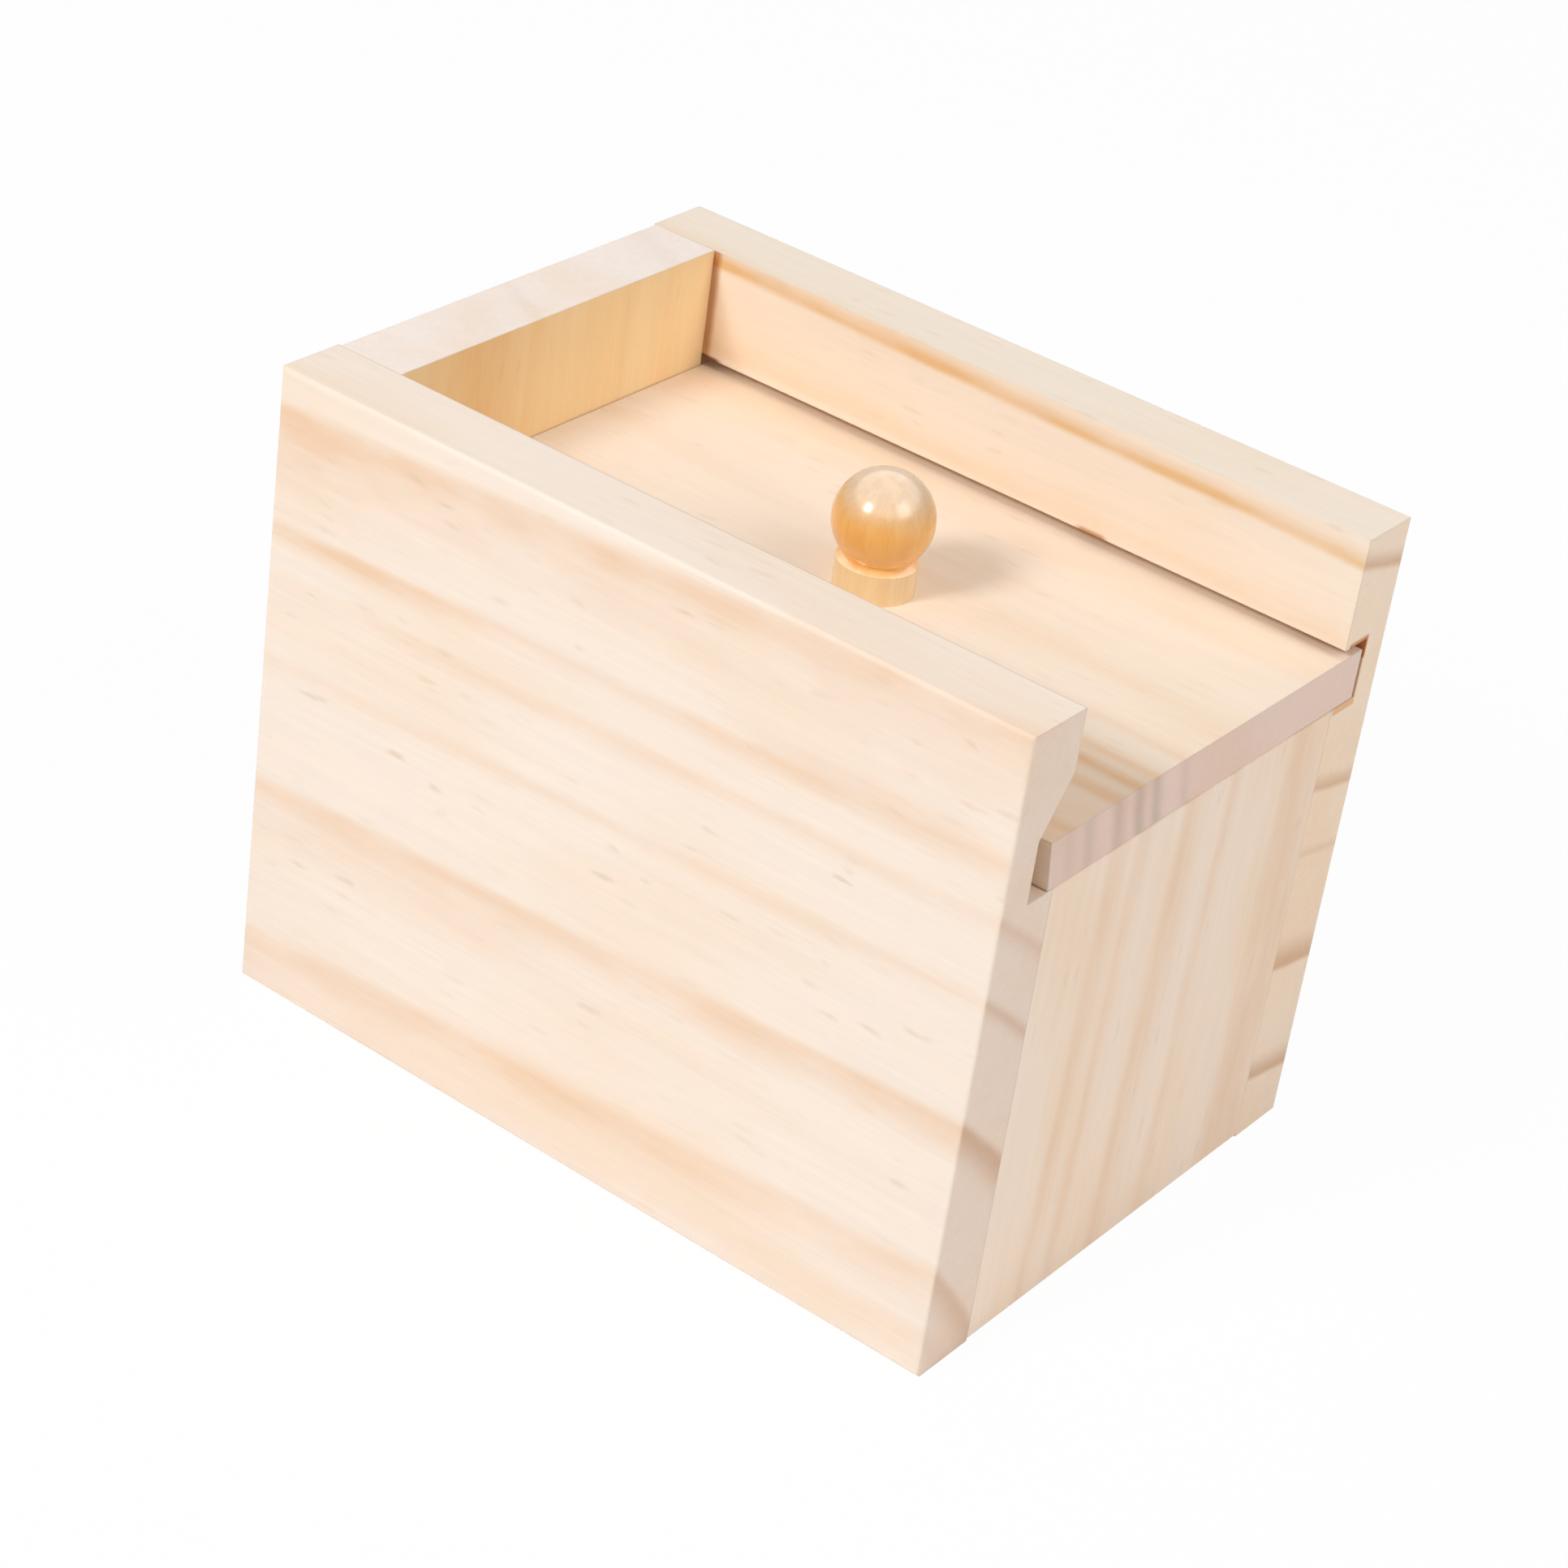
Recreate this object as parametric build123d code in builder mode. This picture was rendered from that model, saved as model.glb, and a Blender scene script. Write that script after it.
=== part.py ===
"""Prank box: a small pine box with a sliding lid and a sprung rubber spider waiting under it.

Millimetres, +Z up. The origin is the middle of the underside. +X is the low end, where the lid
slides out, and +Y is the rear board. The solids stand as they do with the lid closed.
"""

from build123d import *
import os
from math import ceil, cos, pi, radians, sin, sqrt, tan

# Box
box_length = 82.0
box_width = 59.0
box_height = 65.0
side_thickness = 7.3
end_thickness = 7.6
floor_thickness = 4.0
edge_radius = 0.4

# Lid and the grooves that it slides in
rim_drop = 12.2
lid_thickness = 5.0
lid_undercut = 0.8
lid_end_gap = 0.1
lid_rear_gap = 0.4
lid_front_gap = 2.1
groove_depth = 3.7
groove_headroom = 1.0
slide_gap = 0.1
mouth_relief_length = 9.0
mouth_relief_rise = 5.2

# Knob and its screw
knob_from_end = 35.8
knob_off_centre = -0.6
ball_diameter = 9.4
ball_height = 6.9
collar_diameter = 7.6
collar_height = 2.9
neck_diameter = 6.5
neck_height = 0.4
screw_diameter = 2.5
screw_head_diameter = 5.0
screw_head_angle = 90.0
screw_tip_length = 1.6
screw_bite = 6.0

# Axle pin, spring and arm
axle_from_end = 10.0
axle_height = 24.0
pin_diameter = 2.0
pin_seat = 4.0
wire_diameter = 0.8
coil_clearance = 0.3
coil_gap = 0.5
coil_turns = 6
eye_turns = 2
leg_lean = 37.0
leg_bend = 2.5
foot_length = 6.0
staple_wire = 0.8
staple_span = 4.0
staple_depth = 5.0
arm_rise = 5.0

# Rubber spider
spider_from_far_end = 14.0
abdomen_length = 12.0
abdomen_diameter = 8.6
abdomen_set_back = 3.4
head_length = 8.0
head_diameter = 6.2
head_set_forward = 4.6
leg_root_diameter = 1.8
leg_tip_diameter = 0.9
hip_out = 1.0
knee_out = 8.5
knee_up = 4.2
foot_out = 15.0
foot_down = 3.0
hip_spacing = 1.9
knee_fan = 1.7
foot_fan = 3.4
arm_grip = 9.0

# Places that follow from the sizes
inner_length = box_length - 2 * end_thickness
inner_width = box_width - 2 * side_thickness
inner_end = inner_length / 2
inner_side = inner_width / 2
lid_top = box_height - rim_drop
lid_underside = lid_top - lid_thickness
groove_floor = lid_underside - slide_gap
groove_lip = lid_top + groove_headroom
groove_wall = inner_side + groove_depth
axle_x = inner_end - axle_from_end
axle = Vector(axle_x, 0, axle_height)
coil_radius = pin_diameter / 2 + coil_clearance + wire_diameter / 2
coil_pitch = wire_diameter + coil_gap


def coil_point(angle, y):
    """Point on the wire's centre line, at an angle in degrees from +X towards +Z."""
    return axle + Vector(coil_radius * cos(radians(angle)), y, coil_radius * sin(radians(angle)))


def coil_tangent(angle):
    """Direction of the wound wire there: the turns climb towards the front board."""
    climb = -coil_pitch / (2 * pi * coil_radius)
    return Vector(-sin(radians(angle)), climb, cos(radians(angle))).normalized()


def biarc(start, start_direction, end, end_direction):
    """Two arcs that meet smoothly and keep both end directions."""
    chord = end - start
    turn = 1 - start_direction.dot(end_direction)
    along = chord.dot(start_direction + end_direction)
    reach = (sqrt(along**2 + 2 * turn * chord.dot(chord)) - along) / (2 * turn)
    middle = (start + end + (start_direction - end_direction) * reach) / 2
    first = TangentArc(start, middle, tangent=start_direction)
    TangentArc(middle, end, tangent=first % 1)


def wind(start_angle, end_angle, start_y):
    """Winds the wire about the axle, in steps of about a quarter turn."""
    steps = round((end_angle - start_angle) / 90)
    step = (end_angle - start_angle) / steps
    for count in range(steps):
        angles = [start_angle + count * step, start_angle + (count + 1) * step]
        ys = [start_y - coil_pitch * (angle - start_angle) / 360 for angle in angles]
        biarc(
            coil_point(angles[0], ys[0]),
            coil_tangent(angles[0]),
            coil_point(angles[1], ys[1]),
            coil_tangent(angles[1]),
        )


def least_gap(wire, diameter):
    """Smallest gap between a wound wire's turns, measured on points along its centre line."""
    steps = ceil(wire.length / diameter * 4)
    points = [wire @ (count / steps) for count in range(steps + 1)]
    apart = ceil(pi * diameter / (wire.length / steps))
    gaps = [
        (points[first] - points[second]).length
        for first in range(steps + 1)
        for second in range(first + apart, steps + 1)
    ]
    return min(gaps) - diameter


# Rear board: the full length of the box, grooved from end to end for the lid
with BuildPart() as rear_board:
    with BuildSketch(Plane.YZ):
        with Locations(((inner_side + box_width / 2) / 2, box_height / 2)):
            Rectangle(side_thickness, box_height)
        with Locations((inner_side, groove_floor)):
            Rectangle(
                groove_depth,
                groove_lip - groove_floor,
                align=(Align.MIN, Align.MIN),
                mode=Mode.SUBTRACT,
            )
    extrude(amount=box_length / 2, both=True)
    fillet(rear_board.faces().sort_by(Axis.Y)[-1].edges(), edge_radius)
    with Locations(Plane(origin=(axle_x, inner_side, axle_height), z_dir=(0, -1, 0))):
        Hole(radius=pin_diameter / 2, depth=pin_seat)

# Front board: the rear one's mirror image, with its groove eased open at the mouth
with BuildPart() as front_board:
    mirror(rear_board.part, about=Plane.XZ)
    with BuildSketch(Plane.YZ.offset(box_length / 2)):
        with BuildLine():
            Polyline(
                (-groove_wall, groove_lip),
                (-inner_side, groove_lip),
                (-inner_side, groove_lip + mouth_relief_rise),
                close=True,
            )
        make_face()
    extrude(amount=-mouth_relief_length, mode=Mode.SUBTRACT)

# Far end board: full height between the side boards, so the lid stops against it
with BuildPart() as far_end_board:
    with BuildSketch(Plane.XY):
        with Locations((-inner_end, 0)):
            Rectangle(end_thickness, inner_width, align=(Align.MAX, Align.CENTER))
    extrude(amount=box_height)
    fillet(far_end_board.edges().filter_by(Axis.Y).group_by(Axis.X)[0], edge_radius)

# Route of the spring wire: down the near end board, round the pin, then out along the arm
arm_angle = 180 - arm_rise
eye_start_angle = leg_lean + 360
eye_end_angle = arm_angle - 90 + 360 * (eye_turns + 1)
eye_start_y = coil_pitch * (eye_end_angle - eye_start_angle) / 360
coil_end_y = eye_start_y + coil_pitch
coil_start_y = coil_end_y + coil_turns * coil_pitch
leg_start = coil_point(leg_lean, coil_start_y)
leg_direction = coil_tangent(leg_lean)
foot_x = inner_end - wire_diameter / 2
leg_length = (foot_x - leg_bend * sin(radians(leg_lean)) - leg_start.X) / -leg_direction.X
leg_foot = leg_start - leg_direction * leg_length
foot_top = Vector(foot_x, leg_foot.Y, leg_foot.Z - leg_bend)
foot_bottom = foot_top - Vector(0, 0, foot_length)
staple_height = (foot_top.Z + foot_bottom.Z) / 2
staple_places = [(inner_end, foot_top.Y + side * staple_span / 2, staple_height) for side in (-1, 1)]

# Near end board: low enough for the lid to slide out over it, drilled for the spring's staple
with BuildPart() as near_end_board:
    with BuildSketch(Plane.XY):
        with Locations((inner_end, 0)):
            Rectangle(end_thickness, inner_width, align=(Align.MIN, Align.CENTER))
    extrude(amount=groove_floor)
    fillet(near_end_board.edges().filter_by(Axis.Y).group_by(Axis.X)[-1], edge_radius)
    for place in staple_places:
        with Locations(Plane(origin=place, z_dir=(-1, 0, 0))):
            Hole(radius=staple_wire / 2, depth=staple_depth)

# Bottom board: set inside the four walls, flush with their lower edges
with BuildPart() as bottom_board:
    with BuildSketch(Plane.XY):
        Rectangle(inner_length, inner_width)
    extrude(amount=floor_thickness)

# Lid: a flat panel that runs in both grooves and ends flush with the box at its mouth
lid_far = -inner_end + lid_end_gap
lid_near = box_length / 2
lid_front = -groove_wall + lid_front_gap
lid_rear = groove_wall - lid_rear_gap
knob_x = lid_near - knob_from_end
knob_y = knob_off_centre

with BuildPart() as lid:
    with BuildSketch(Plane.YZ.offset(lid_far)):
        with BuildLine():
            Polyline(
                (lid_front, lid_top),
                (lid_rear, lid_top),
                (lid_rear, lid_underside),
                (lid_front + lid_undercut, lid_underside),
                close=True,
            )
        make_face()
    extrude(amount=lid_near - lid_far)
    with Locations(Plane(origin=(knob_x, knob_y, lid_underside), z_dir=(0, 0, -1))):
        CounterSinkHole(
            radius=screw_diameter / 2,
            counter_sink_radius=screw_head_diameter / 2,
            counter_sink_angle=screw_head_angle,
        )

# Knob: turned in one piece, a ball on a short neck and a collar
knob_axis = Axis((knob_x, knob_y, 0), (0, 0, 1))
ball_foot = ball_height - sqrt((ball_diameter / 2) ** 2 - (neck_diameter / 2) ** 2)

with BuildPart() as knob:
    with BuildSketch(Plane(origin=(knob_x, knob_y, lid_top), x_dir=(1, 0, 0), z_dir=(0, -1, 0))):
        with BuildLine():
            Polyline(
                (0, ball_height + ball_diameter / 2),
                (0, 0),
                (collar_diameter / 2, 0),
                (collar_diameter / 2, collar_height),
                (neck_diameter / 2, collar_height + neck_height),
                (neck_diameter / 2, ball_foot),
            )
            ThreePointArc(
                (neck_diameter / 2, ball_foot),
                (ball_diameter / 2, ball_height),
                (0, ball_height + ball_diameter / 2),
            )
        make_face()
    revolve(axis=knob_axis)
    with Locations(Plane(origin=(knob_x, knob_y, lid_top), z_dir=(0, 0, -1))):
        Hole(radius=screw_diameter / 2, depth=screw_bite + screw_tip_length)

# Knob screw: countersunk into the lid's underside, up into the knob
screw_cone = (screw_head_diameter - screw_diameter) / 2 / tan(radians(screw_head_angle / 2))
screw_top = lid_thickness + screw_bite

with BuildPart() as knob_screw:
    with BuildSketch(Plane(origin=(knob_x, knob_y, lid_underside), x_dir=(1, 0, 0), z_dir=(0, -1, 0))):
        with BuildLine():
            Polyline(
                (0, 0),
                (screw_head_diameter / 2, 0),
                (screw_diameter / 2, screw_cone),
                (screw_diameter / 2, screw_top),
                (0, screw_top + screw_tip_length),
                close=True,
            )
        make_face()
    revolve(axis=knob_axis)

# Axle pin: a straight wire pin, let into a blind hole in each side board
with BuildPart() as axle_pin:
    with BuildSketch(Plane.XZ.offset(-inner_side - pin_seat)):
        with Locations((axle_x, axle_height)):
            Circle(pin_diameter / 2)
    extrude(amount=inner_width + 2 * pin_seat)

# Spring coil: wound round the pin, its lower leg flat against the near end board
with BuildPart() as spring_coil:
    with BuildLine() as coil_wire:
        Line(foot_bottom, foot_top)
        biarc(foot_top, Vector(0, 0, 1), leg_foot, leg_direction)
        Line(leg_foot, leg_start)
        wind(leg_lean, leg_lean + 360 * coil_turns, coil_start_y)
    with BuildSketch(Plane(origin=foot_bottom, z_dir=(0, 0, 1))):
        Circle(wire_diameter / 2)
    sweep(path=coil_wire.wire())

# Spring staple: holds the leg to the near end board
staple_crown_x = foot_x - (wire_diameter + staple_wire) / 2

with BuildPart() as spring_staple:
    with BuildLine() as staple_path:
        FilletPolyline(
            Vector(inner_end + staple_depth, *staple_places[0][1:]),
            Vector(staple_crown_x, *staple_places[0][1:]),
            Vector(staple_crown_x, *staple_places[1][1:]),
            Vector(inner_end + staple_depth, *staple_places[1][1:]),
            radius=staple_wire,
        )
    with BuildSketch(Plane(origin=staple_path.wire() @ 0, z_dir=staple_path.wire() % 0)):
        Circle(staple_wire / 2)
    sweep(path=staple_path.wire())

# Spring arm: the same wire's other end, with its own turns round the pin, out to the spider
arm_direction = Vector(cos(radians(arm_angle)), 0, sin(radians(arm_angle)))
arm_up = Vector(sin(radians(arm_angle)), 0, -cos(radians(arm_angle)))
eye_end = coil_point(eye_end_angle, 0)
arm_start = eye_end + arm_direction * coil_radius - Vector(0, coil_pitch / (4 * pi), 0)
spider_x = -inner_end + spider_from_far_end
arm_length = (spider_x - arm_start.X) / arm_direction.X
spider_middle = arm_start + arm_direction * arm_length
arm_tip = spider_middle - arm_direction * (abdomen_set_back + abdomen_length / 2 - arm_grip)

with BuildPart() as spring_arm:
    with BuildLine() as arm_wire:
        wind(eye_start_angle, eye_end_angle, eye_start_y)
        biarc(eye_end, coil_tangent(eye_end_angle), arm_start, arm_direction)
        Line(arm_start, arm_tip)
    with BuildSketch(Plane(origin=arm_wire.wire() @ 0, z_dir=arm_wire.wire() % 0)):
        Circle(wire_diameter / 2)
    sweep(path=arm_wire.wire())

# Rubber spider: moulded in one piece and pushed on to the arm's end
spider_side = arm_up.cross(arm_direction)


def spider_point(forward, sideways, up):
    """A point in the spider's own directions, from the middle of its body."""
    return spider_middle + arm_direction * forward + spider_side * sideways + arm_up * up


def taper(start, start_diameter, end, end_diameter):
    """One straight part of a leg, thinner towards its end."""
    with BuildSketch(Plane(origin=start, z_dir=end - start)) as root:
        Circle(start_diameter / 2)
    with BuildSketch(Plane(origin=end, z_dir=end - start)) as tip:
        Circle(end_diameter / 2)
    loft(sections=[root.sketch, tip.sketch])


with BuildPart() as rubber_spider:
    with BuildSketch(Plane(origin=spider_middle, x_dir=arm_direction, z_dir=-spider_side)):
        with Locations((-abdomen_set_back, 0)):
            Ellipse(abdomen_length / 2, abdomen_diameter / 2)
        with Locations((head_set_forward, 0)):
            Ellipse(head_length / 2, head_diameter / 2)
        split(bisect_by=Plane.XZ)
    revolve(axis=Axis(origin=spider_middle, direction=arm_direction))
    knee_diameter = (leg_root_diameter + leg_tip_diameter) / 2
    for side in (-1, 1):
        for pair in (-1.5, -0.5, 0.5, 1.5):
            hip = spider_point(head_set_forward / 2 + pair * hip_spacing, side * hip_out, 0)
            knee = spider_point(pair * (hip_spacing + knee_fan), side * knee_out, knee_up)
            foot = spider_point(pair * (hip_spacing + knee_fan + foot_fan), side * foot_out, -foot_down)
            taper(hip, leg_root_diameter, knee, knee_diameter)
            taper(knee, knee_diameter, foot, leg_tip_diameter)
            with Locations(knee):
                Sphere(knee_diameter / 2)
    with BuildSketch(Plane(origin=arm_tip, z_dir=-arm_direction)):
        Circle(wire_diameter / 2)
    extrude(amount=arm_grip + abdomen_length, mode=Mode.SUBTRACT)

pieces = {
    "rear_board": rear_board,
    "front_board": front_board,
    "far_end_board": far_end_board,
    "near_end_board": near_end_board,
    "bottom_board": bottom_board,
    "lid": lid,
    "knob": knob,
    "knob_screw": knob_screw,
    "axle_pin": axle_pin,
    "spring_coil": spring_coil,
    "spring_staple": spring_staple,
    "spring_arm": spring_arm,
    "rubber_spider": rubber_spider,
}
for name, wire in (("spring_coil", coil_wire), ("spring_arm", arm_wire)):
    print(f"{name}: least gap to itself {least_gap(wire.wire(), wire_diameter):.2f} mm")
os.makedirs("parts", exist_ok=True)
for name, piece in pieces.items():
    piece.part.label = name
    export_step(piece.part, f"parts/{name}.step")
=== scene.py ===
"""Looks of the prank box: planed pine, a lacquered knob, spring wire and a rubber spider.

Metres, +Z up, in the part's frame: +X is the end where the lid slides out, +Y is the rear board.
Growth ring places are in millimetres.
"""

from math import atan2, cos, hypot, pi, radians, sin

import bmesh
import bpy
from mathutils import Euler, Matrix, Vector


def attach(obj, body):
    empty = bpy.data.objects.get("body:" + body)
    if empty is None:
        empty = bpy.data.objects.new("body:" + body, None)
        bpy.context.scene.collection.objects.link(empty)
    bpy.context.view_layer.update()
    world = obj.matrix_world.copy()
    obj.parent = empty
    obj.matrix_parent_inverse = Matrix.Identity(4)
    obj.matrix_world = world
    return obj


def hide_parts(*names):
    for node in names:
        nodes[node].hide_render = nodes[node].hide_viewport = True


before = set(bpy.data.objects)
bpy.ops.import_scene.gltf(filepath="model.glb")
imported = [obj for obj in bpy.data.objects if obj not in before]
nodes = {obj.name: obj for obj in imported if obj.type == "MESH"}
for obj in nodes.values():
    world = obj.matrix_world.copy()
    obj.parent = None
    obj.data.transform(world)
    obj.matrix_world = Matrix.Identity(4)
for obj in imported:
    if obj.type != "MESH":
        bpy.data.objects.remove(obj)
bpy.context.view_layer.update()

# Sizes that the looks share with the part, in millimetres
inner_end = 33.4
inner_side = 22.2
half_length = 41.0
half_width = 29.5
lid_top = 52.8
knob_x = 5.2
knob_y = -0.6
box_height = 65.0
lid_thickness = 5.0

# Turns metres into millimetres
millimetres = (1000, 1000, 1000)


# Node trees, in short form


def add(tree, kind, inputs=(), **settings):
    """Adds a node. Its inputs are values or other nodes' outputs, by place or by socket name."""
    made = tree.nodes.new(kind)
    for name, value in settings.items():
        setattr(made, name, value)
    pairs = inputs.items() if isinstance(inputs, dict) else enumerate(inputs)
    for socket, value in pairs:
        if isinstance(value, bpy.types.NodeSocket):
            tree.links.new(value, made.inputs[socket])
        elif value is not None:
            made.inputs[socket].default_value = value
    return made


def calc(tree, operation, *inputs, clamp=False):
    return add(tree, "ShaderNodeMath", inputs, operation=operation, use_clamp=clamp).outputs[0]


def vector(tree, operation, *inputs):
    made = add(tree, "ShaderNodeVectorMath", inputs, operation=operation)
    return made.outputs["Value" if operation in ("DOT_PRODUCT", "LENGTH") else "Vector"]


def stretch(tree, value, low, high, to_low=0.0, to_high=1.0, smooth=True):
    """Maps low..high to another range, and holds the ends."""
    kind = "SMOOTHSTEP" if smooth else "LINEAR"
    inputs = [value, low, high, to_low, to_high]
    return add(tree, "ShaderNodeMapRange", inputs, interpolation_type=kind).outputs[0]


def blend_colour(tree, amount, first, second, how="MIX"):
    inputs = {0: amount, 6: first, 7: second}
    return add(tree, "ShaderNodeMix", inputs, data_type="RGBA", blend_type=how).outputs[2]


def noise(tree, place, scale, detail=2.0, roughness=0.5):
    inputs = {"Vector": place, "Scale": scale, "Detail": detail, "Roughness": roughness}
    return add(tree, "ShaderNodeTexNoise", inputs).outputs["Fac"]


def grain_noise(tree, place, along, across, detail, roughness=0.5):
    """Noise drawn out along the grain. along and across are its waves per millimetre."""
    return noise(tree, vector(tree, "MULTIPLY", place, (along, across, across)), 1.0, detail, roughness)


def grey(tree, value):
    return add(tree, "ShaderNodeCombineXYZ", [value, value, value]).outputs[0]


def colour(red, green, blue):
    """A colour as a screen shows it, 0 to 255, made linear."""
    parts = [value / 255 for value in (red, green, blue)]
    return [p / 12.92 if p <= 0.04045 else ((p + 0.055) / 1.055) ** 2.4 for p in parts] + [1.0]


def new_group(name, inputs, outputs):
    """An empty node group with named sockets. Returns the tree and its input node's outputs."""
    tree = bpy.data.node_groups.new(name, "ShaderNodeTree")
    for direction, sockets in (("INPUT", inputs), ("OUTPUT", outputs)):
        for socket, (kind, default) in sockets.items():
            made = tree.interface.new_socket(socket, in_out=direction, socket_type="NodeSocket" + kind)
            if default is not None:
                made.default_value = default
    return tree, tree.nodes.new("NodeGroupInput").outputs


def fill_group(tree, group, inputs):
    return add(tree, "ShaderNodeGroup", inputs, node_tree=group).outputs


def new_material(name):
    """A material with one Principled BSDF. Returns the material, its tree and that shader."""
    material = bpy.data.materials.new(name)
    material.use_nodes = True
    return material, material.node_tree, material.node_tree.nodes["Principled BSDF"]


def coat(piece, material):
    """Gives a piece this material alone."""
    piece.data.materials.clear()
    piece.data.materials.append(material)


# Pine


def make_growth_group():
    """How far a point lies from the tree's pith, which runs along the board, in mm."""
    tree, given = new_group(
        "growth",
        {"Place": ("Vector", None), "Pith": ("Vector", None), "Wander": ("Float", 1.0)},
        {"Radius": ("Float", None)},
    )
    across = vector(tree, "MULTIPLY", vector(tree, "SUBTRACT", given["Place"], given["Pith"]), (0, 1, 1))
    sway = calc(tree, "SUBTRACT", grain_noise(tree, given["Place"], 0.02, 0.05, 1.0), 0.5)
    ripple = calc(tree, "SUBTRACT", grain_noise(tree, given["Place"], 0.07, 0.3, 2.0), 0.5)
    sway_height = 2.4
    drift = calc(tree, "MULTIPLY_ADD", sway, sway_height, ripple)
    radius = calc(tree, "MULTIPLY_ADD", drift, given["Wander"], vector(tree, "LENGTH", across))
    add(tree, "NodeGroupOutput", [radius])
    return tree


def make_band_group():
    """One band of late wood: it darkens slowly outwards from the pith and ends more quickly."""
    tree, given = new_group(
        "late_wood_band",
        {
            "Radius": ("Float", 0.0),
            "Along": ("Float", 0.0),
            "Middle": ("Float", 0.0),
            "Tilt": ("Float", 0.0),
            "Inner Fade": ("Float", 3.0),
            "Outer Fade": ("Float", 1.0),
            "Strength": ("Float", 1.0),
        },
        {"Share": ("Float", None)},
    )
    level = calc(tree, "SUBTRACT", given["Radius"], calc(tree, "MULTIPLY", given["Tilt"], given["Along"]))
    past = calc(tree, "SUBTRACT", level, given["Middle"])
    rise = stretch(tree, calc(tree, "DIVIDE", past, given["Inner Fade"]), -1.0, -0.08)
    fall = stretch(tree, calc(tree, "DIVIDE", past, given["Outer Fade"]), -0.7, 0.5, 1.0, 0.0)
    shape = calc(tree, "MULTIPLY", calc(tree, "POWER", rise, 1.5), fall)
    add(tree, "NodeGroupOutput", [calc(tree, "MULTIPLY", shape, given["Strength"])])
    return tree


def make_pine_group():
    """Pine from its bands: fibres, resin canals, end grain and slow changes of tone."""
    tree, given = new_group(
        "pine",
        {
            "Place": ("Vector", None),
            "Bands": ("Float", 0.0),
            "End Bands": ("Float", 0.0),
            "End Grain": ("Float", 0.0),
            "Edge": ("Float", 0.0),
            "Canals": ("Float", 0.4),
            "Early Wood": ("Color", (0.9, 0.76, 0.6, 1)),
            "Late Wood": ("Color", (0.8, 0.5, 0.25, 1)),
            "Early End": ("Color", (0.8, 0.7, 0.6, 1)),
            "Late End": ("Color", (0.7, 0.5, 0.4, 1)),
        },
        {"Color": ("Color", None), "Roughness": ("Float", None), "Height": ("Float", None)},
    )
    place, end = given["Place"], given["End Grain"]

    # The bands are a little stronger in some stretches than in others
    stretches = grain_noise(tree, place, 0.09, 0.3, 3.0)
    strength = stretch(tree, stretches, 0.34, 0.64, 0.7, 1.2)
    bands = calc(tree, "MULTIPLY", given["Bands"], strength, clamp=True)
    long_wood = blend_colour(tree, bands, given["Early Wood"], given["Late Wood"])
    end_wood = blend_colour(tree, given["End Bands"], given["Early End"], given["Late End"])
    wood = blend_colour(tree, end, long_wood, end_wood)

    # Slow patches, warmer or paler
    patches = grain_noise(tree, place, 0.03, 0.1, 3.0)
    warm_share = stretch(tree, patches, 0.42, 0.72, 0.0, 0.35)
    warm = blend_colour(tree, warm_share, wood, colour(252, 237, 214), "MULTIPLY")

    # Fibres: fine lines along the grain, a speckle on the end grain
    fibre = grain_noise(tree, place, 0.1, 2.8, 4.0, 0.65)
    thread = grain_noise(tree, place, 0.05, 0.9, 3.0, 0.6)
    fibre_shade = stretch(tree, fibre, 0.32, 0.68, 0.972, 1.01, smooth=False)
    thread_shade = stretch(tree, thread, 0.3, 0.7, 0.982, 1.01, smooth=False)
    shade = calc(tree, "MULTIPLY", fibre_shade, thread_shade)
    lined = blend_colour(tree, 1.0, warm, grey(tree, shade), "MULTIPLY")

    # Resin canals: short darker dashes in loose groups
    bent = grain_noise(tree, place, 0.2, 0.6, 2.0)
    cells_along, cells_across = 0.2, 0.78
    cell_place = vector(tree, "MULTIPLY", place, (cells_along, cells_across, cells_across))
    bent_place = vector(tree, "ADD", cell_place, bent)
    cells = add(tree, "ShaderNodeTexVoronoi", {"Vector": bent_place, "Scale": 1.0})
    chance = add(tree, "ShaderNodeSeparateXYZ", [cells.outputs["Color"]]).outputs
    chosen = stretch(tree, chance[0], 0.25, 0.8)
    groups = grain_noise(tree, place, 0.05, 0.16, 1.0)
    grouped = calc(tree, "MULTIPLY", stretch(tree, groups, 0.36, 0.52), given["Canals"])
    dash = stretch(tree, cells.outputs["Distance"], 0.08, 0.34, 1.0, 0.0)
    canals = calc(tree, "MULTIPLY", calc(tree, "MULTIPLY", dash, chosen), grouped)
    # They show less on the end grain
    canal_share = calc(tree, "MULTIPLY", canals, calc(tree, "MULTIPLY_ADD", end, -0.6, 0.85))
    marked = blend_colour(tree, canal_share, lined, colour(226, 204, 178))

    # Edges are a little paler: sanding wear, and a painted highlight along them
    most_at_edges = 0.13
    edge_share = calc(tree, "MULTIPLY", given["Edge"], most_at_edges)
    finished = blend_colour(tree, edge_share, marked, colour(255, 245, 232))

    # Late wood is a little smoother, end grain rougher
    plain_roughness = 0.62
    rough = calc(tree, "MULTIPLY_ADD", bands, -0.1, calc(tree, "MULTIPLY_ADD", end, 0.15, plain_roughness))
    rough_fibre = calc(tree, "MULTIPLY_ADD", fibre, 0.1, rough)
    # Late wood stands a little proud and the canals are sunk
    sunk = calc(tree, "MULTIPLY_ADD", canals, -0.7, calc(tree, "MULTIPLY_ADD", bands, 0.5, fibre))
    height = calc(tree, "MULTIPLY_ADD", thread, 0.5, sunk)
    add(tree, "NodeGroupOutput", [finished, rough_fibre, height])
    return tree


growth_group = make_growth_group()
band_group = make_band_group()
pine_group = make_pine_group()


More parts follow.
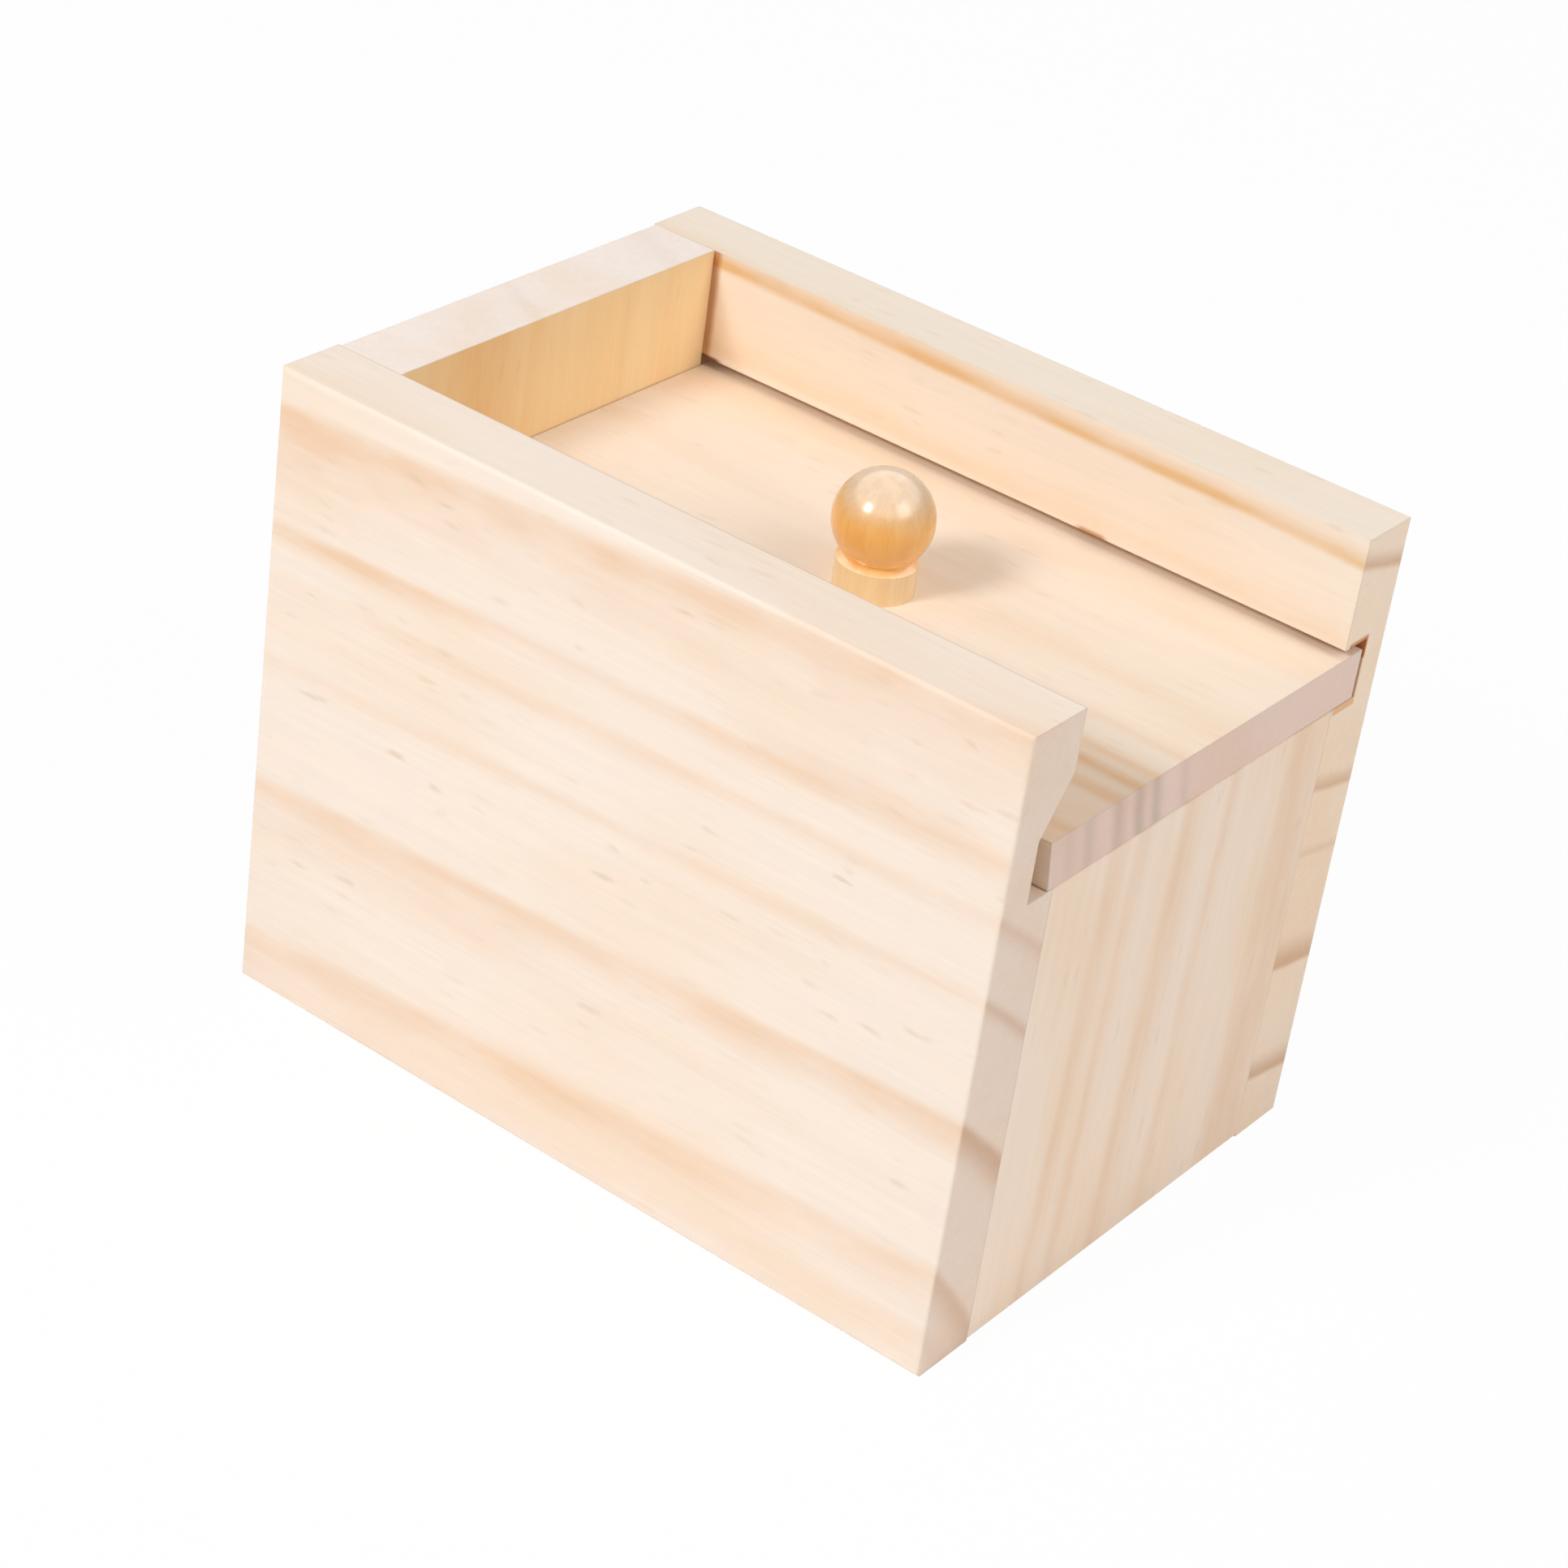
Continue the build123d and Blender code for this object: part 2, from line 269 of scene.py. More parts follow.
def band(start, finish, inner, outer, strength=1.0, end=None, along=()):
    """A band of late wood, by where its dark edge crosses the board's face at the two ends of the grain.

    inner and outer: how far it fades towards the pith and towards the bark, in mm.
    end: its strength on the end grain. along: places along the grain, with its share of strength there.
    """
    return {
        "start": start,
        "finish": finish,
        "inner": inner,
        "outer": outer,
        "strength": strength,
        "end": strength if end is None else end,
        "along": along,
    }


def ramp_along(tree, value, points, low, high):
    """A smooth line of shares through (place, share) points, of which the first lies at low."""
    ramp = add(tree, "ShaderNodeValToRGB", [stretch(tree, value, low, high, smooth=False)])
    ramp.color_ramp.interpolation = "EASE"
    elements = ramp.color_ramp.elements
    elements.remove(elements[1])
    for index, (at, share) in enumerate(points):
        element = elements.new((at - low) / (high - low)) if index else elements[0]
        element.color = (share, share, share, 1)
    return ramp.outputs[0]


def board_radius(lie, face, across, pith):
    """The distance from the pith of a place on the face."""
    if lie == "side":
        return hypot(face - pith[0], across - pith[1])
    if lie == "flat":
        return hypot(across - pith[0], face - pith[1])
    return hypot(across - pith[0], -face - pith[1])


def late_wood(tree, bands, radius, along, grain_ends, radius_at):
    """How much late wood there is, from 0 to 1, for the long faces and for the end grain.

    radius_at: gives the distance from the pith for a place across the board's face.
    """
    low, high = grain_ends
    sums = [0.0, 0.0]
    for each in bands:
        start_radius, finish_radius = radius_at(each["start"]), radius_at(each["finish"])
        tilt = (finish_radius - start_radius) / (high - low)
        share = 1.0
        if each["along"]:
            share = ramp_along(tree, along, each["along"], low, high)
        inputs = {
            "Radius": radius,
            "Along": along,
            "Middle": start_radius - tilt * low,
            "Tilt": tilt,
            "Inner Fade": each["inner"],
            "Outer Fade": each["outer"],
            "Strength": share,
        }
        shape = fill_group(tree, band_group, inputs)["Share"]
        for index, strength in enumerate((each["strength"], each["end"])):
            sums[index] = calc(tree, "MULTIPLY_ADD", shape, strength, sums[index])
    return [calc(tree, "MINIMUM", value, 1.0) for value in sums]


def rounded_edges(tree):
    """A normal that rounds the board's edges a little, and how much a place is on such an edge."""
    edge_rounding = 0.00022
    soft = add(tree, "ShaderNodeBevel", {"Radius": edge_rounding}, samples=6).outputs[0]
    flat = add(tree, "ShaderNodeNewGeometry").outputs["Normal"]
    return soft, stretch(tree, vector(tree, "DOT_PRODUCT", soft, flat), 0.995, 0.9)


def pine_material(
    name, lie, face, bands, tones, pith, grain_ends, offset=0, wander=0.3, canals=(), marks=()
):
    """One board's pine.

    lie: "side" for a wall with its grain along the box, "flat" for the lid or bottom, "upright" for an end.
    face: the place of the face on which the bands are given, across the board's thickness, in mm.
    tones: early and late wood along the grain, then early and late wood on the end grain.
    pith: the tree's middle, seen along the grain, in mm. grain_ends: the board's two ends along the grain.
    offset: where the board lies along its tree, so that no two boards are alike, in mm.
    wander: how far the rings stray from circles, as a share. canals: shares of resin canals by height.
    marks: functions that paint shade onto places, such as the dark of a gap or a groove.
    """
    material, tree, shader = new_material(name)
    point = add(tree, "ShaderNodeTexCoord").outputs["Object"]
    upright = lie == "upright"
    turn = (0, radians(90), 0) if upright else (0, 0, 0)
    mapping = {"Vector": point, "Rotation": turn, "Scale": millimetres}
    place = add(tree, "ShaderNodeMapping", mapping, vector_type="POINT").outputs[0]
    shifted = vector(tree, "ADD", place, (offset, 0, 0))
    growth = {"Place": shifted, "Pith": (0, *pith), "Wander": wander}
    radius = fill_group(tree, growth_group, growth)["Radius"]
    along = add(tree, "ShaderNodeSeparateXYZ", [place]).outputs[0]

    def radius_at(across):
        return board_radius(lie, face, across, pith)

    face_bands, end_bands = late_wood(tree, bands, radius, along, grain_ends, radius_at)
    normal = add(tree, "ShaderNodeTexCoord").outputs["Normal"]
    grain_way = (0, 0, 1) if upright else (1, 0, 0)
    facing = calc(tree, "ABSOLUTE", vector(tree, "DOT_PRODUCT", normal, grain_way))
    end = stretch(tree, facing, 0.45, 0.85)
    soft, edge = rounded_edges(tree)
    canal_share = 0.35
    if canals:
        across = add(tree, "ShaderNodeSeparateXYZ", [place]).outputs[2]
        canal_share = ramp_along(tree, across, canals, 0, box_height)
    pine = fill_group(
        tree,
        pine_group,
        {
            "Place": shifted,
            "Bands": face_bands,
            "End Bands": end_bands,
            "End Grain": end,
            "Edge": edge,
            "Canals": canal_share,
            "Early Wood": tones[0],
            "Late Wood": tones[1],
            "Early End": tones[2],
            "Late End": tones[3],
        },
    )
    shown = pine["Color"]
    for mark in marks:
        shown = mark(tree, point, shown)
    tree.links.new(shown, shader.inputs["Base Color"])
    tree.links.new(pine["Roughness"], shader.inputs["Roughness"])
    relief = {"Strength": 0.35, "Distance": 0.00005, "Height": pine["Height"], "Normal": soft}
    tree.links.new(add(tree, "ShaderNodeBump", relief).outputs[0], shader.inputs["Normal"])
    shader.inputs["Specular IOR Level"].default_value = 0.15
    return material


def painted_shade(lowest, highest, soft, tone, strength=1.0):
    """Paints shade: tints what lies inside a box, in mm, and fades over soft mm round it, given for x, y
    and z.
    """

    def mark(tree, point, shown):
        place = vector(tree, "MULTIPLY", point, millimetres)
        middle = [(a + b) / 2 for a, b in zip(lowest, highest)]
        half = [(b - a) / 2 for a, b in zip(lowest, highest)]
        away = vector(tree, "ABSOLUTE", vector(tree, "SUBTRACT", place, middle))
        beyond = vector(tree, "MAXIMUM", vector(tree, "SUBTRACT", away, half), (0, 0, 0))
        past = vector(tree, "LENGTH", vector(tree, "DIVIDE", beyond, soft))
        share = stretch(tree, past, 0.0, 1.0, strength, 0.0)
        return blend_colour(tree, share, shown, tone, "MULTIPLY")

    return mark


pale_end = (colour(247, 226, 209), colour(226, 194, 168))

# Front board: soft bands that rise towards the near end, bark side up
front_board = pine_material(
    "pine_front",
    "side",
    -half_width,
    [
        band(
            61.6, 66.2, 4.0, 1.2, 0.7, 0.0,
            [(-41, 0.95), (-30, 1), (-8, 0.85), (10, 0.75), (41, 0.7)],
        ),
        band(
            60.8, 65.6, 12.0, 2.0, 0.85, 0.0,
            [(-41, 1), (-33, 0.85), (-24, 0.55), (-10, 0.42), (41, 0.35)],
        ),
        band(
            49.8, 53.3, 3.0, 0.9, 1.0, 0.0,
            [(-41, 0.75), (-27, 1), (-17, 0.6), (-5, 0.35), (6, 0.6), (18, 0.5), (28, 0.25), (41, 0.3)],
        ),
        band(52.4, 54.9, 5.5, 1.5, 0.38, 0.0, [(-41, 0), (10, 0), (24, 1), (34, 1), (41, 0.6)]),
        band(
            44.9, 48.0, 2.6, 0.9, 0.5, 0.75,
            [(-41, 0.6), (-17, 0.65), (6, 0.9), (28, 0.8), (41, 0.65)],
        ),
        band(36.3, 40.0, 2.2, 1.0, 0.36, 0.75),
        band(
            22.9, 27.5, 4.4, 0.9, 0.8, 1.0,
            [(-41, 0.7), (-30, 0.8), (-18, 0.8), (0, 0.7), (20, 0.8), (36, 1)],
        ),
        band(
            20.0, 23.4, 5.0, 3.0, 0.32, 0.0,
            [(-41, 0.6), (-27, 1), (-12, 1), (-3, 0.3), (10, 0), (41, 0)],
        ),
        band(
            5.9, 12.0, 4.6, 1.0, 0.8, 1.0,
            [(-41, 0.65), (-21, 0.75), (-12, 0.7), (4, 0.95), (9, 0.8), (25, 0.6), (41, 0.7)],
        ),
        band(1.6, 5.6, 4.0, 2.0, 0.28, 0.2),
    ],
    (colour(249, 233, 218), colour(241, 207, 176), colour(244, 223, 206), colour(219, 184, 157)),
    pith=(-98, -50),
    grain_ends=(-41, 41),
    offset=11,
    canals=[
        (0, 0.2), (12, 0.2), (17, 0.6), (22, 0.2), (29, 0.3), (33, 0.9), (37, 0.2),
        (43.5, 0.9), (47, 0.2), (52, 0.5), (55, 0.3), (60, 1.0), (64, 0.4),
    ],
)

# Rear board: bark side down, a soft band just under the rim; painted shade darkens its groove, the gap over
# the lid and the joint with the far end board
rear_board = pine_material(
    "pine_rear",
    "side",
    inner_side,
    [
        band(63.5, 62.0, 2.6, 0.8, 1.0, 1.0),
        band(54.6, 54.0, 4.5, 0.8, 0.26, 0.0),
        band(41.0, 39.0, 2.6, 0.6, 0.5, 0.8),
        band(33.0, 31.8, 1.6, 0.6, 0.35, 0.4),
        band(20.5, 19.2, 4.6, 0.6, 0.6, 1.0),
        band(8.0, 6.6, 3.6, 0.7, 0.5, 1.0),
    ],
    (colour(248, 233, 216), colour(235, 194, 143), colour(254, 231, 208), colour(225, 189, 157)),
    pith=(58, 185),
    grain_ends=(-41, 41),
    offset=140,
    wander=0.2,
    marks=(
        # Painted shade: the groove is tinted warmer and darker where it lies in shade, partly also the
        # darker sawn wood
        painted_shade((-41, 22.5, 47), (41, 26, 53.7), (0.1, 0.2, 0.15), colour(240, 212, 184)),
        # Painted shade of the open joint with the far end board, darkest where it meets the lid
        painted_shade((-33.5, 22.0, 53.0), (-33.0, 22.6, 64.9), (0.9, 0.2, 0.1), colour(200, 158, 122), 0.9),
        painted_shade((-33.5, 22.0, 53.0), (-31.8, 23.0, 53.9), (1.2, 0.3, 0.35), colour(140, 90, 60), 0.9),
        # Painted shade in the gap over the lid: a patch midway and one by the mouth
        painted_shade((12.3, 22.0, 53.2), (14.2, 23.0, 53.9), (1.2, 0.3, 0.5), colour(206, 158, 116), 0.9),
        painted_shade((37.0, 23.0, 52.0), (41.0, 26.0, 54.0), (4.0, 0.3, 0.4), colour(206, 158, 116), 0.9),
    ),
)

# Near end board: low contrast, seen in the mouth under the lid
near_end_board = pine_material(
    "pine_near_end",
    "upright",
    half_length,
    [
        band(-15.2, -13.5, 3.2, 1.0, 0.8),
        band(-10.9, -9.2, 2.4, 1.0, 0.75),
        band(-4.0, -1.9, 4.0, 1.0, 0.75),
        band(3.9, 5.2, 2.0, 0.9, 0.75),
        band(14.7, 16.0, 6.0, 1.2, 0.95),
        band(19.6, 20.6, 3.0, 1.5, 0.35),
    ],
    (colour(254, 233, 213), colour(247, 216, 188), *pale_end),
    pith=(75, 60),
    grain_ends=(4, 48),
    offset=300,
    wander=0.25,
)

# Far end board: pale like the others, with only faint bands; its inner face is tinted golden, a painted
# warm shade for light bounced off the wood
far_end_board = pine_material(
    "pine_far_end",
    "upright",
    -inner_end,
    [
        band(-7.0, -6.0, 15.0, 5.0, 1.0, 0.3),
        band(-3.8, -3.0, 2.5, 2.0, 0.5),
        band(10.0, 10.5, 3.0, 2.0, 0.35, 0.0),
        band(16.5, 17.5, 5.0, 2.0, 0.4),
    ],
    (colour(255, 233, 208), colour(249, 214, 176), colour(253, 240, 231), colour(241, 222, 206)),
    pith=(-70, 70),
    grain_ends=(4, 65),
    offset=500,
    marks=(
        # Painted warm shade on the inner face, for light bounced off the wood
        painted_shade((-33.8, -22.4, 3.0), (-33.0, 22.4, 64.9), (0.5, 0.2, 0.1), colour(255, 246, 216)),
    ),
)

# Lid: narrow rings near the front edge that fade away from the mouth, wide and plain towards the rear
lid = pine_material(
    "pine_lid",
    "flat",
    lid_top,
    [
        band(-21.8, -21.8, 2.8, 1.6, 0.5, 0.25),
        band(-18.9, -18.9, 3.0, 1.6, 0.3, 0.55),
        band(-14.6, -14.6, 3.4, 1.7, 0.75, 0.75),
        band(-11.4, -11.4, 3.0, 1.6, 0.95, 1.0),
        band(-8.8, -8.8, 2.8, 1.5, 0.75, 0.95, [(-41, 0.3), (5, 0.35), (28, 0.85), (41, 1)]),
        band(-4.4, -4.4, 2.6, 1.5, 0.45, 0.45, [(-41, 0.0), (22, 0.1), (32, 0.8), (41, 1)]),
        # Broad warm band by the front edge: late wood, and painted shade where the front board shades the
        # lid
        band(-25.0, -25.0, 18.0, 3.0, 0.3, 0.2, [(-41, 0.2), (20, 0.4), (41, 1)]),
        band(-13.0, -12.0, 6.0, 4.0, 0.24, 0.0, [(-41, 1), (24, 1), (36, 0.3), (41, 0)]),
        band(6.5, 1.5, 4.5, 3.0, 0.13, 0.0),
        # Broad band darkening the lid towards the rear board: wood, and painted shade by the wall
        band(14.5, 15.5, 13.0, 3.0, 0.16, 0.0),
    ],
    (colour(249, 231, 212), colour(235, 191, 146), colour(240, 213, 199), colour(207, 184, 169)),
    pith=(60, 67),
    grain_ends=(-41, 41),
    offset=700,
    wander=0.2,
)
bottom_board = pine_material(
    "pine_bottom",
    "flat",
    0,
    [band(5, 7, 5, 1, 0.6), band(-4, -2, 4, 1, 0.6), band(14, 15, 3, 1, 0.5), band(-14, -13, 3, 1, 0.5)],
    (colour(252, 236, 217), colour(242, 206, 168), *pale_end),
    pith=(5, 80),
    grain_ends=(-34, 34),
    offset=900,
)
boards = {
    "front_board": front_board,
    "rear_board": rear_board,
    "near_end_board": near_end_board,
    "far_end_board": far_end_board,
    "lid": lid,
    "bottom_board": bottom_board,
}


# Lacquer, steel and rubber


def lacquer_material():
    """Turned wood under clear lacquer: golden, paler at the collar, with its grain upright, and a paler,
    greyer crown that is a painted reflection of the bright overhead.
    """
    material, tree, shader = new_material("lacquered_wood")
    point = add(tree, "ShaderNodeTexCoord").outputs["Object"]
    place = vector(tree, "MULTIPLY", point, millimetres)
    lines = noise(tree, vector(tree, "MULTIPLY", place, (0.9, 0.9, 0.1)), 1.0, 3.0, 0.6)
    fine = noise(tree, vector(tree, "MULTIPLY", place, (6.0, 6.0, 0.4)), 1.0, 2.0)
    grain = calc(tree, "MULTIPLY_ADD", fine, 0.25, calc(tree, "MULTIPLY", lines, 0.75))
    share = stretch(tree, grain, 0.35, 0.65)
    golden = blend_colour(tree, share, colour(245, 178, 91), colour(249, 190, 107))
    pale = blend_colour(tree, share, colour(239, 204, 151), colour(245, 214, 165))
    # A paler, greyer crown: a painted reflection of the bright overhead
    painted_sheen_crown = blend_colour(tree, share, colour(208, 173, 133), colour(218, 187, 148))
    height = add(tree, "ShaderNodeSeparateXYZ", [place]).outputs[2]
    collar_top, ball_underside = lid_top + 2.7, lid_top + 3.5
    collar = stretch(tree, height, collar_top, ball_underside, 1.0, 0.0)
    sheen_from, sheen_full = lid_top + 7.0, lid_top + 10.5
    top = stretch(tree, height, sheen_from, sheen_full)
    body = blend_colour(tree, top, golden, painted_sheen_crown)
    tree.links.new(blend_colour(tree, collar, body, pale), shader.inputs["Base Color"])
    rough = stretch(tree, fine, 0.2, 0.8, 0.36, 0.46)
    tree.links.new(rough, shader.inputs["Roughness"])
    shader.inputs["Specular IOR Level"].default_value = 0.3
    shader.inputs["Coat Weight"].default_value = 1.0
    shader.inputs["Coat Roughness"].default_value = 0.19
    shader.inputs["Coat IOR"].default_value = 1.55
    bump = add(tree, "ShaderNodeBump", {"Strength": 0.12, "Distance": 0.00003, "Height": grain})
    tree.links.new(bump.outputs[0], shader.inputs["Normal"])
    return material


def wire_material(name, tone, roughness):
    """Drawn steel: fine scratches, and a few duller patches."""
    material, tree, shader = new_material(name)
    point = add(tree, "ShaderNodeTexCoord").outputs["Object"]
    place = add(tree, "ShaderNodeMapping", {"Vector": point, "Scale": millimetres}).outputs[0]
    scratches = noise(tree, vector(tree, "MULTIPLY", place, (1.0, 14.0, 9.0)), 1.0, 3.0, 0.7)
    dull = noise(tree, place, 0.5, 2.0)
    share = stretch(tree, dull, 0.45, 0.7, 0.0, 0.6)
    duller_tone = [part * 0.7 for part in tone[:3]] + [1]
    steel = blend_colour(tree, share, tone, duller_tone)
    tree.links.new(steel, shader.inputs["Base Color"])
    rough = calc(tree, "MULTIPLY_ADD", scratches, 0.25, roughness)
    tree.links.new(rough, shader.inputs["Roughness"])
    shader.inputs["Metallic"].default_value = 1.0
    bump = add(tree, "ShaderNodeBump", {"Strength": 0.2, "Distance": 0.00002, "Height": scratches})
    tree.links.new(bump.outputs[0], shader.inputs["Normal"])
    return material


def rubber_material():
    """Black moulded rubber, a little dusty, with a fine skin."""
    material, tree, shader = new_material("black_rubber")
    point = add(tree, "ShaderNodeTexCoord").outputs["Object"]
    place = add(tree, "ShaderNodeMapping", {"Vector": point, "Scale": millimetres}).outputs[0]
    skin = noise(tree, place, 5.0, 4.0, 0.6)
    dust = noise(tree, place, 0.4, 3.0)
    dusty = stretch(tree, dust, 0.45, 0.75, 0.0, 0.5)
    black = blend_colour(tree, dusty, colour(26, 25, 25), colour(56, 54, 52))
    tree.links.new(black, shader.inputs["Base Color"])
    rough = calc(tree, "MULTIPLY_ADD", skin, 0.3, 0.35)
    tree.links.new(rough, shader.inputs["Roughness"])
    bump = add(tree, "ShaderNodeBump", {"Strength": 0.5, "Distance": 0.0001, "Height": skin})
    tree.links.new(bump.outputs[0], shader.inputs["Normal"])
    return material


spring_steel = wire_material("spring_steel", colour(178, 174, 168), 0.22)
screw_steel = wire_material("screw_steel", colour(205, 202, 194), 0.18)
finishes = {
    "knob": lacquer_material(),
    "knob_screw": screw_steel,
    "axle_pin": spring_steel,
    "spring_coil": spring_steel,
    "spring_staple": spring_steel,
    "spring_arm": spring_steel,
    "rubber_spider": rubber_material(),
}
for name, material in {**boards, **finishes}.items():
    coat(nodes[name], material)


# Rubber spider, in mm

# Its own directions: forward along the arm to the far end, sideways to the front, and up
spider_middle = Vector((-19.4, -0.1, 29.45))
arm_rise = radians(5)
spider_forward = Vector((-cos(arm_rise), 0, sin(arm_rise)))
spider_up = Vector((sin(arm_rise), 0, cos(arm_rise)))
spider_side = spider_up.cross(spider_forward)

# Legs, from the middle of the body. A spacing is from one leg to the next on the same side.
leg_places = (-1.5, -0.5, 0.5, 1.5)
hip_forward = 2.3
hip_spacing = 1.9
hip_out = 1.0
knee_spacing = 3.6
knee_out = 8.5
knee_up = 4.2
foot_spacing = 7.0
foot_out = 15.0
foot_down = 3.0

# Small limbs and eyes of one side, as points of (forward, sideways, up, radius)
spinneret = [(-8.4, 0.8, -1.2, 0.55), (-9.1, 0.9, -1.6, 0.4), (-9.6, 0.9, -1.8, 0.12)]
jaw = [(7.6, 0.85, -0.5, 0.8), (8.5, 0.85, -1.3, 0.85), (8.8, 0.8, -2.5, 0.6)]
fang = [(8.8, 0.8, -2.2, 0.38), (8.8, 0.6, -3.1, 0.25), (8.3, 0.3, -3.6, 0.06)]
feeler = [
    (6.6, 1.8, -0.9, 0.6), (8.6, 3.0, -0.1, 0.58), (9.8, 3.2, 0.2, 0.5),
    (10.3, 3.0, -1.3, 0.46), (10.5, 2.7, -2.2, 0.2),
]
eyes = [(8.0, 0.45, 1.35, 0.4), (7.6, 1.25, 1.3, 0.3), (7.2, 0.55, 2.0, 0.28), (6.6, 1.4, 1.95, 0.3)]

# The moulding's fineness and its bristles, in metres
moulding_voxel = 0.00014
bristles_per_square_metre = 2.2e6
bristle_length = 0.0006
bristle_thickness = 0.00018
bristle_tip_radius = 0.00001
bristle_seed = 4


def join_rings(shape, rings):
    """Adds the faces between each ring of corners and the next."""
    for ring, following in zip(rings, rings[1:]):
        for side in range(len(ring)):
            after = (side + 1) % len(ring)
            shape.faces.new((ring[side], ring[after], following[after], following[side]))


def make_piece(name, shape):
    """Uses the shape up for an object in the scene."""
    bmesh.ops.recalc_face_normals(shape, faces=shape.faces)
    mesh = bpy.data.meshes.new(name)
    shape.to_mesh(mesh)
    shape.free()
    piece = bpy.data.objects.new(name, mesh)
    bpy.context.scene.collection.objects.link(piece)
    return piece


def spider_point(forward, sideways, up):
    """A point in the spider's own directions, in metres in the part's frame."""
    return (spider_middle + spider_forward * forward + spider_side * sideways + spider_up * up) / 1000


def smooth_line(points, steps):
    """A smooth line through points that carry a radius as their fourth number."""
    padded = [points[0], *points, points[-1]]
    line = []
    for before, start, end, after in zip(padded, padded[1:], padded[2:], padded[3:]):
        for step in range(steps):
            t = step / steps
            mixed = []
            for a, b, c, d in zip(before, start, end, after):
                slope = (c - a) / 2
                bend = a - 2.5 * b + 2 * c - d / 2
                twist = 1.5 * (b - c) + (d - a) / 2
                mixed.append(b + t * slope + t * t * bend + t**3 * twist)
            line.append(mixed)
    line.append(list(points[-1]))
    return line


def add_limb(shape, points, steps=7, sides=14):
    """A closed, tapered limb through points of (forward, sideways, up, radius)."""
    line = smooth_line(points, steps)
    rings = []
    for index, (forward, sideways, up, radius) in enumerate(line):
        ahead = line[min(index + 1, len(line) - 1)]
        behind = line[max(index - 1, 0)]
        along = Vector([ahead[i] - behind[i] for i in range(3)]).normalized()
        over = along.cross(Vector((1, 0, 0.3))).normalized()
        beside = along.cross(over)
        middle = Vector((forward, sideways, up))
        ring = []
        for side in range(sides):
            angle = 2 * pi * side / sides
            at = middle + (over * cos(angle) + beside * sin(angle)) * radius
            ring.append(shape.verts.new(spider_point(*at)))
        rings.append(ring)
    join_rings(shape, rings)
    for ring in (rings[0], rings[-1]):
        shape.faces.new(ring)


def add_lobe(shape, middle, half_sizes, swell=None, rows=40, columns=56):
    """A closed rounded lobe. swell gives each place's share of its full radius."""
    poles = []
    for end in (1, -1):
        poles.append(shape.verts.new(spider_point(middle[0] + half_sizes[0] * end, middle[1], middle[2])))
    rings = []
    for row in range(1, rows):
        polar = pi * row / rows
        ring = []
        for column in range(columns):
            turn = 2 * pi * column / columns
            place = Vector((cos(polar), sin(polar) * cos(turn), sin(polar) * sin(turn)))
            share = swell(place) if swell else 1.0
            at = [m + h * part * share for m, h, part in zip(middle, half_sizes, place)]
            ring.append(shape.verts.new(spider_point(*at)))
        rings.append(ring)
    join_rings(shape, rings)
    for column in range(columns):
        after = (column + 1) % columns
        shape.faces.new((poles[0], rings[0][after], rings[0][column]))
        shape.faces.new((poles[1], rings[-1][column], rings[-1][after]))


def abdomen_swell(place):
    """Fuller behind, with cross furrows on the back and a shallow line along it."""
    along, across, up = place
    full = 1.0 - 0.05 * along - 0.04 * along * along
    back = max(up, 0.0)
    furrow_depth, line_depth, line_width = 0.055, 0.03, 0.13
    furrows = max(0.0, cos(along * 15.0)) ** 6 * back * furrow_depth
    line = max(0.0, 1 - abs(across) / line_width) * back * line_depth
    return full - furrows - line


def head_swell(place):
    """Furrows that run out from a pit on the head's back."""
    along, across, up = place
    back = max(up, 0.0)
    furrow_depth, pit_depth, pit_width = 0.06, 0.12, 0.22
    from_pit = along + 0.15
    out = hypot(from_pit, across)
    turn = atan2(across, from_pit)
    furrows = max(0.0, cos(turn * 4 + pi)) ** 5 * min(out * 2, 1) * back * furrow_depth
    pit = max(0.0, 1 - out / pit_width) * back * pit_depth
    return 1.0 - furrows - pit


def on_side(points, side):
    """The same points on one side of the body: 1 or -1."""
    return [(forward, side * sideways, up, radius) for forward, sideways, up, radius in points]


def add_leg(shape, place, side):
    """A jointed leg. place is how many spacings it lies before or behind the body's middle."""
    hip = Vector((hip_forward + place * hip_spacing, side * hip_out, 0))
    knee = Vector((place * knee_spacing, side * knee_out, knee_up))
    foot = Vector((place * foot_spacing, side * foot_out, -foot_down))
    shin = knee.lerp(foot, 0.55) + Vector((0, side * 0.35, 0.2))
    # Places down the leg, each with the radius there
    parts = [
        (hip, 0.95),
        (hip.lerp(knee, 0.33), 0.9),
        (hip.lerp(knee, 0.4), 0.78),
        (hip.lerp(knee, 0.72), 0.86),
        (hip.lerp(knee, 0.93), 0.72),
        (knee + Vector((0, side * 0.1, 0)), 0.78),
        (knee.lerp(shin, 0.14), 0.66),
        (knee.lerp(shin, 0.5), 0.72),
        (knee.lerp(shin, 0.94), 0.55),
        (shin, 0.62),
        (shin.lerp(foot, 0.15), 0.5),
        (shin.lerp(foot, 0.6), 0.46),
        (foot, 0.34),
        (foot + Vector((0, side * 0.12, -0.12)), 0.12),
    ]
    add_limb(shape, [(*at, radius) for at, radius in parts], steps=4)


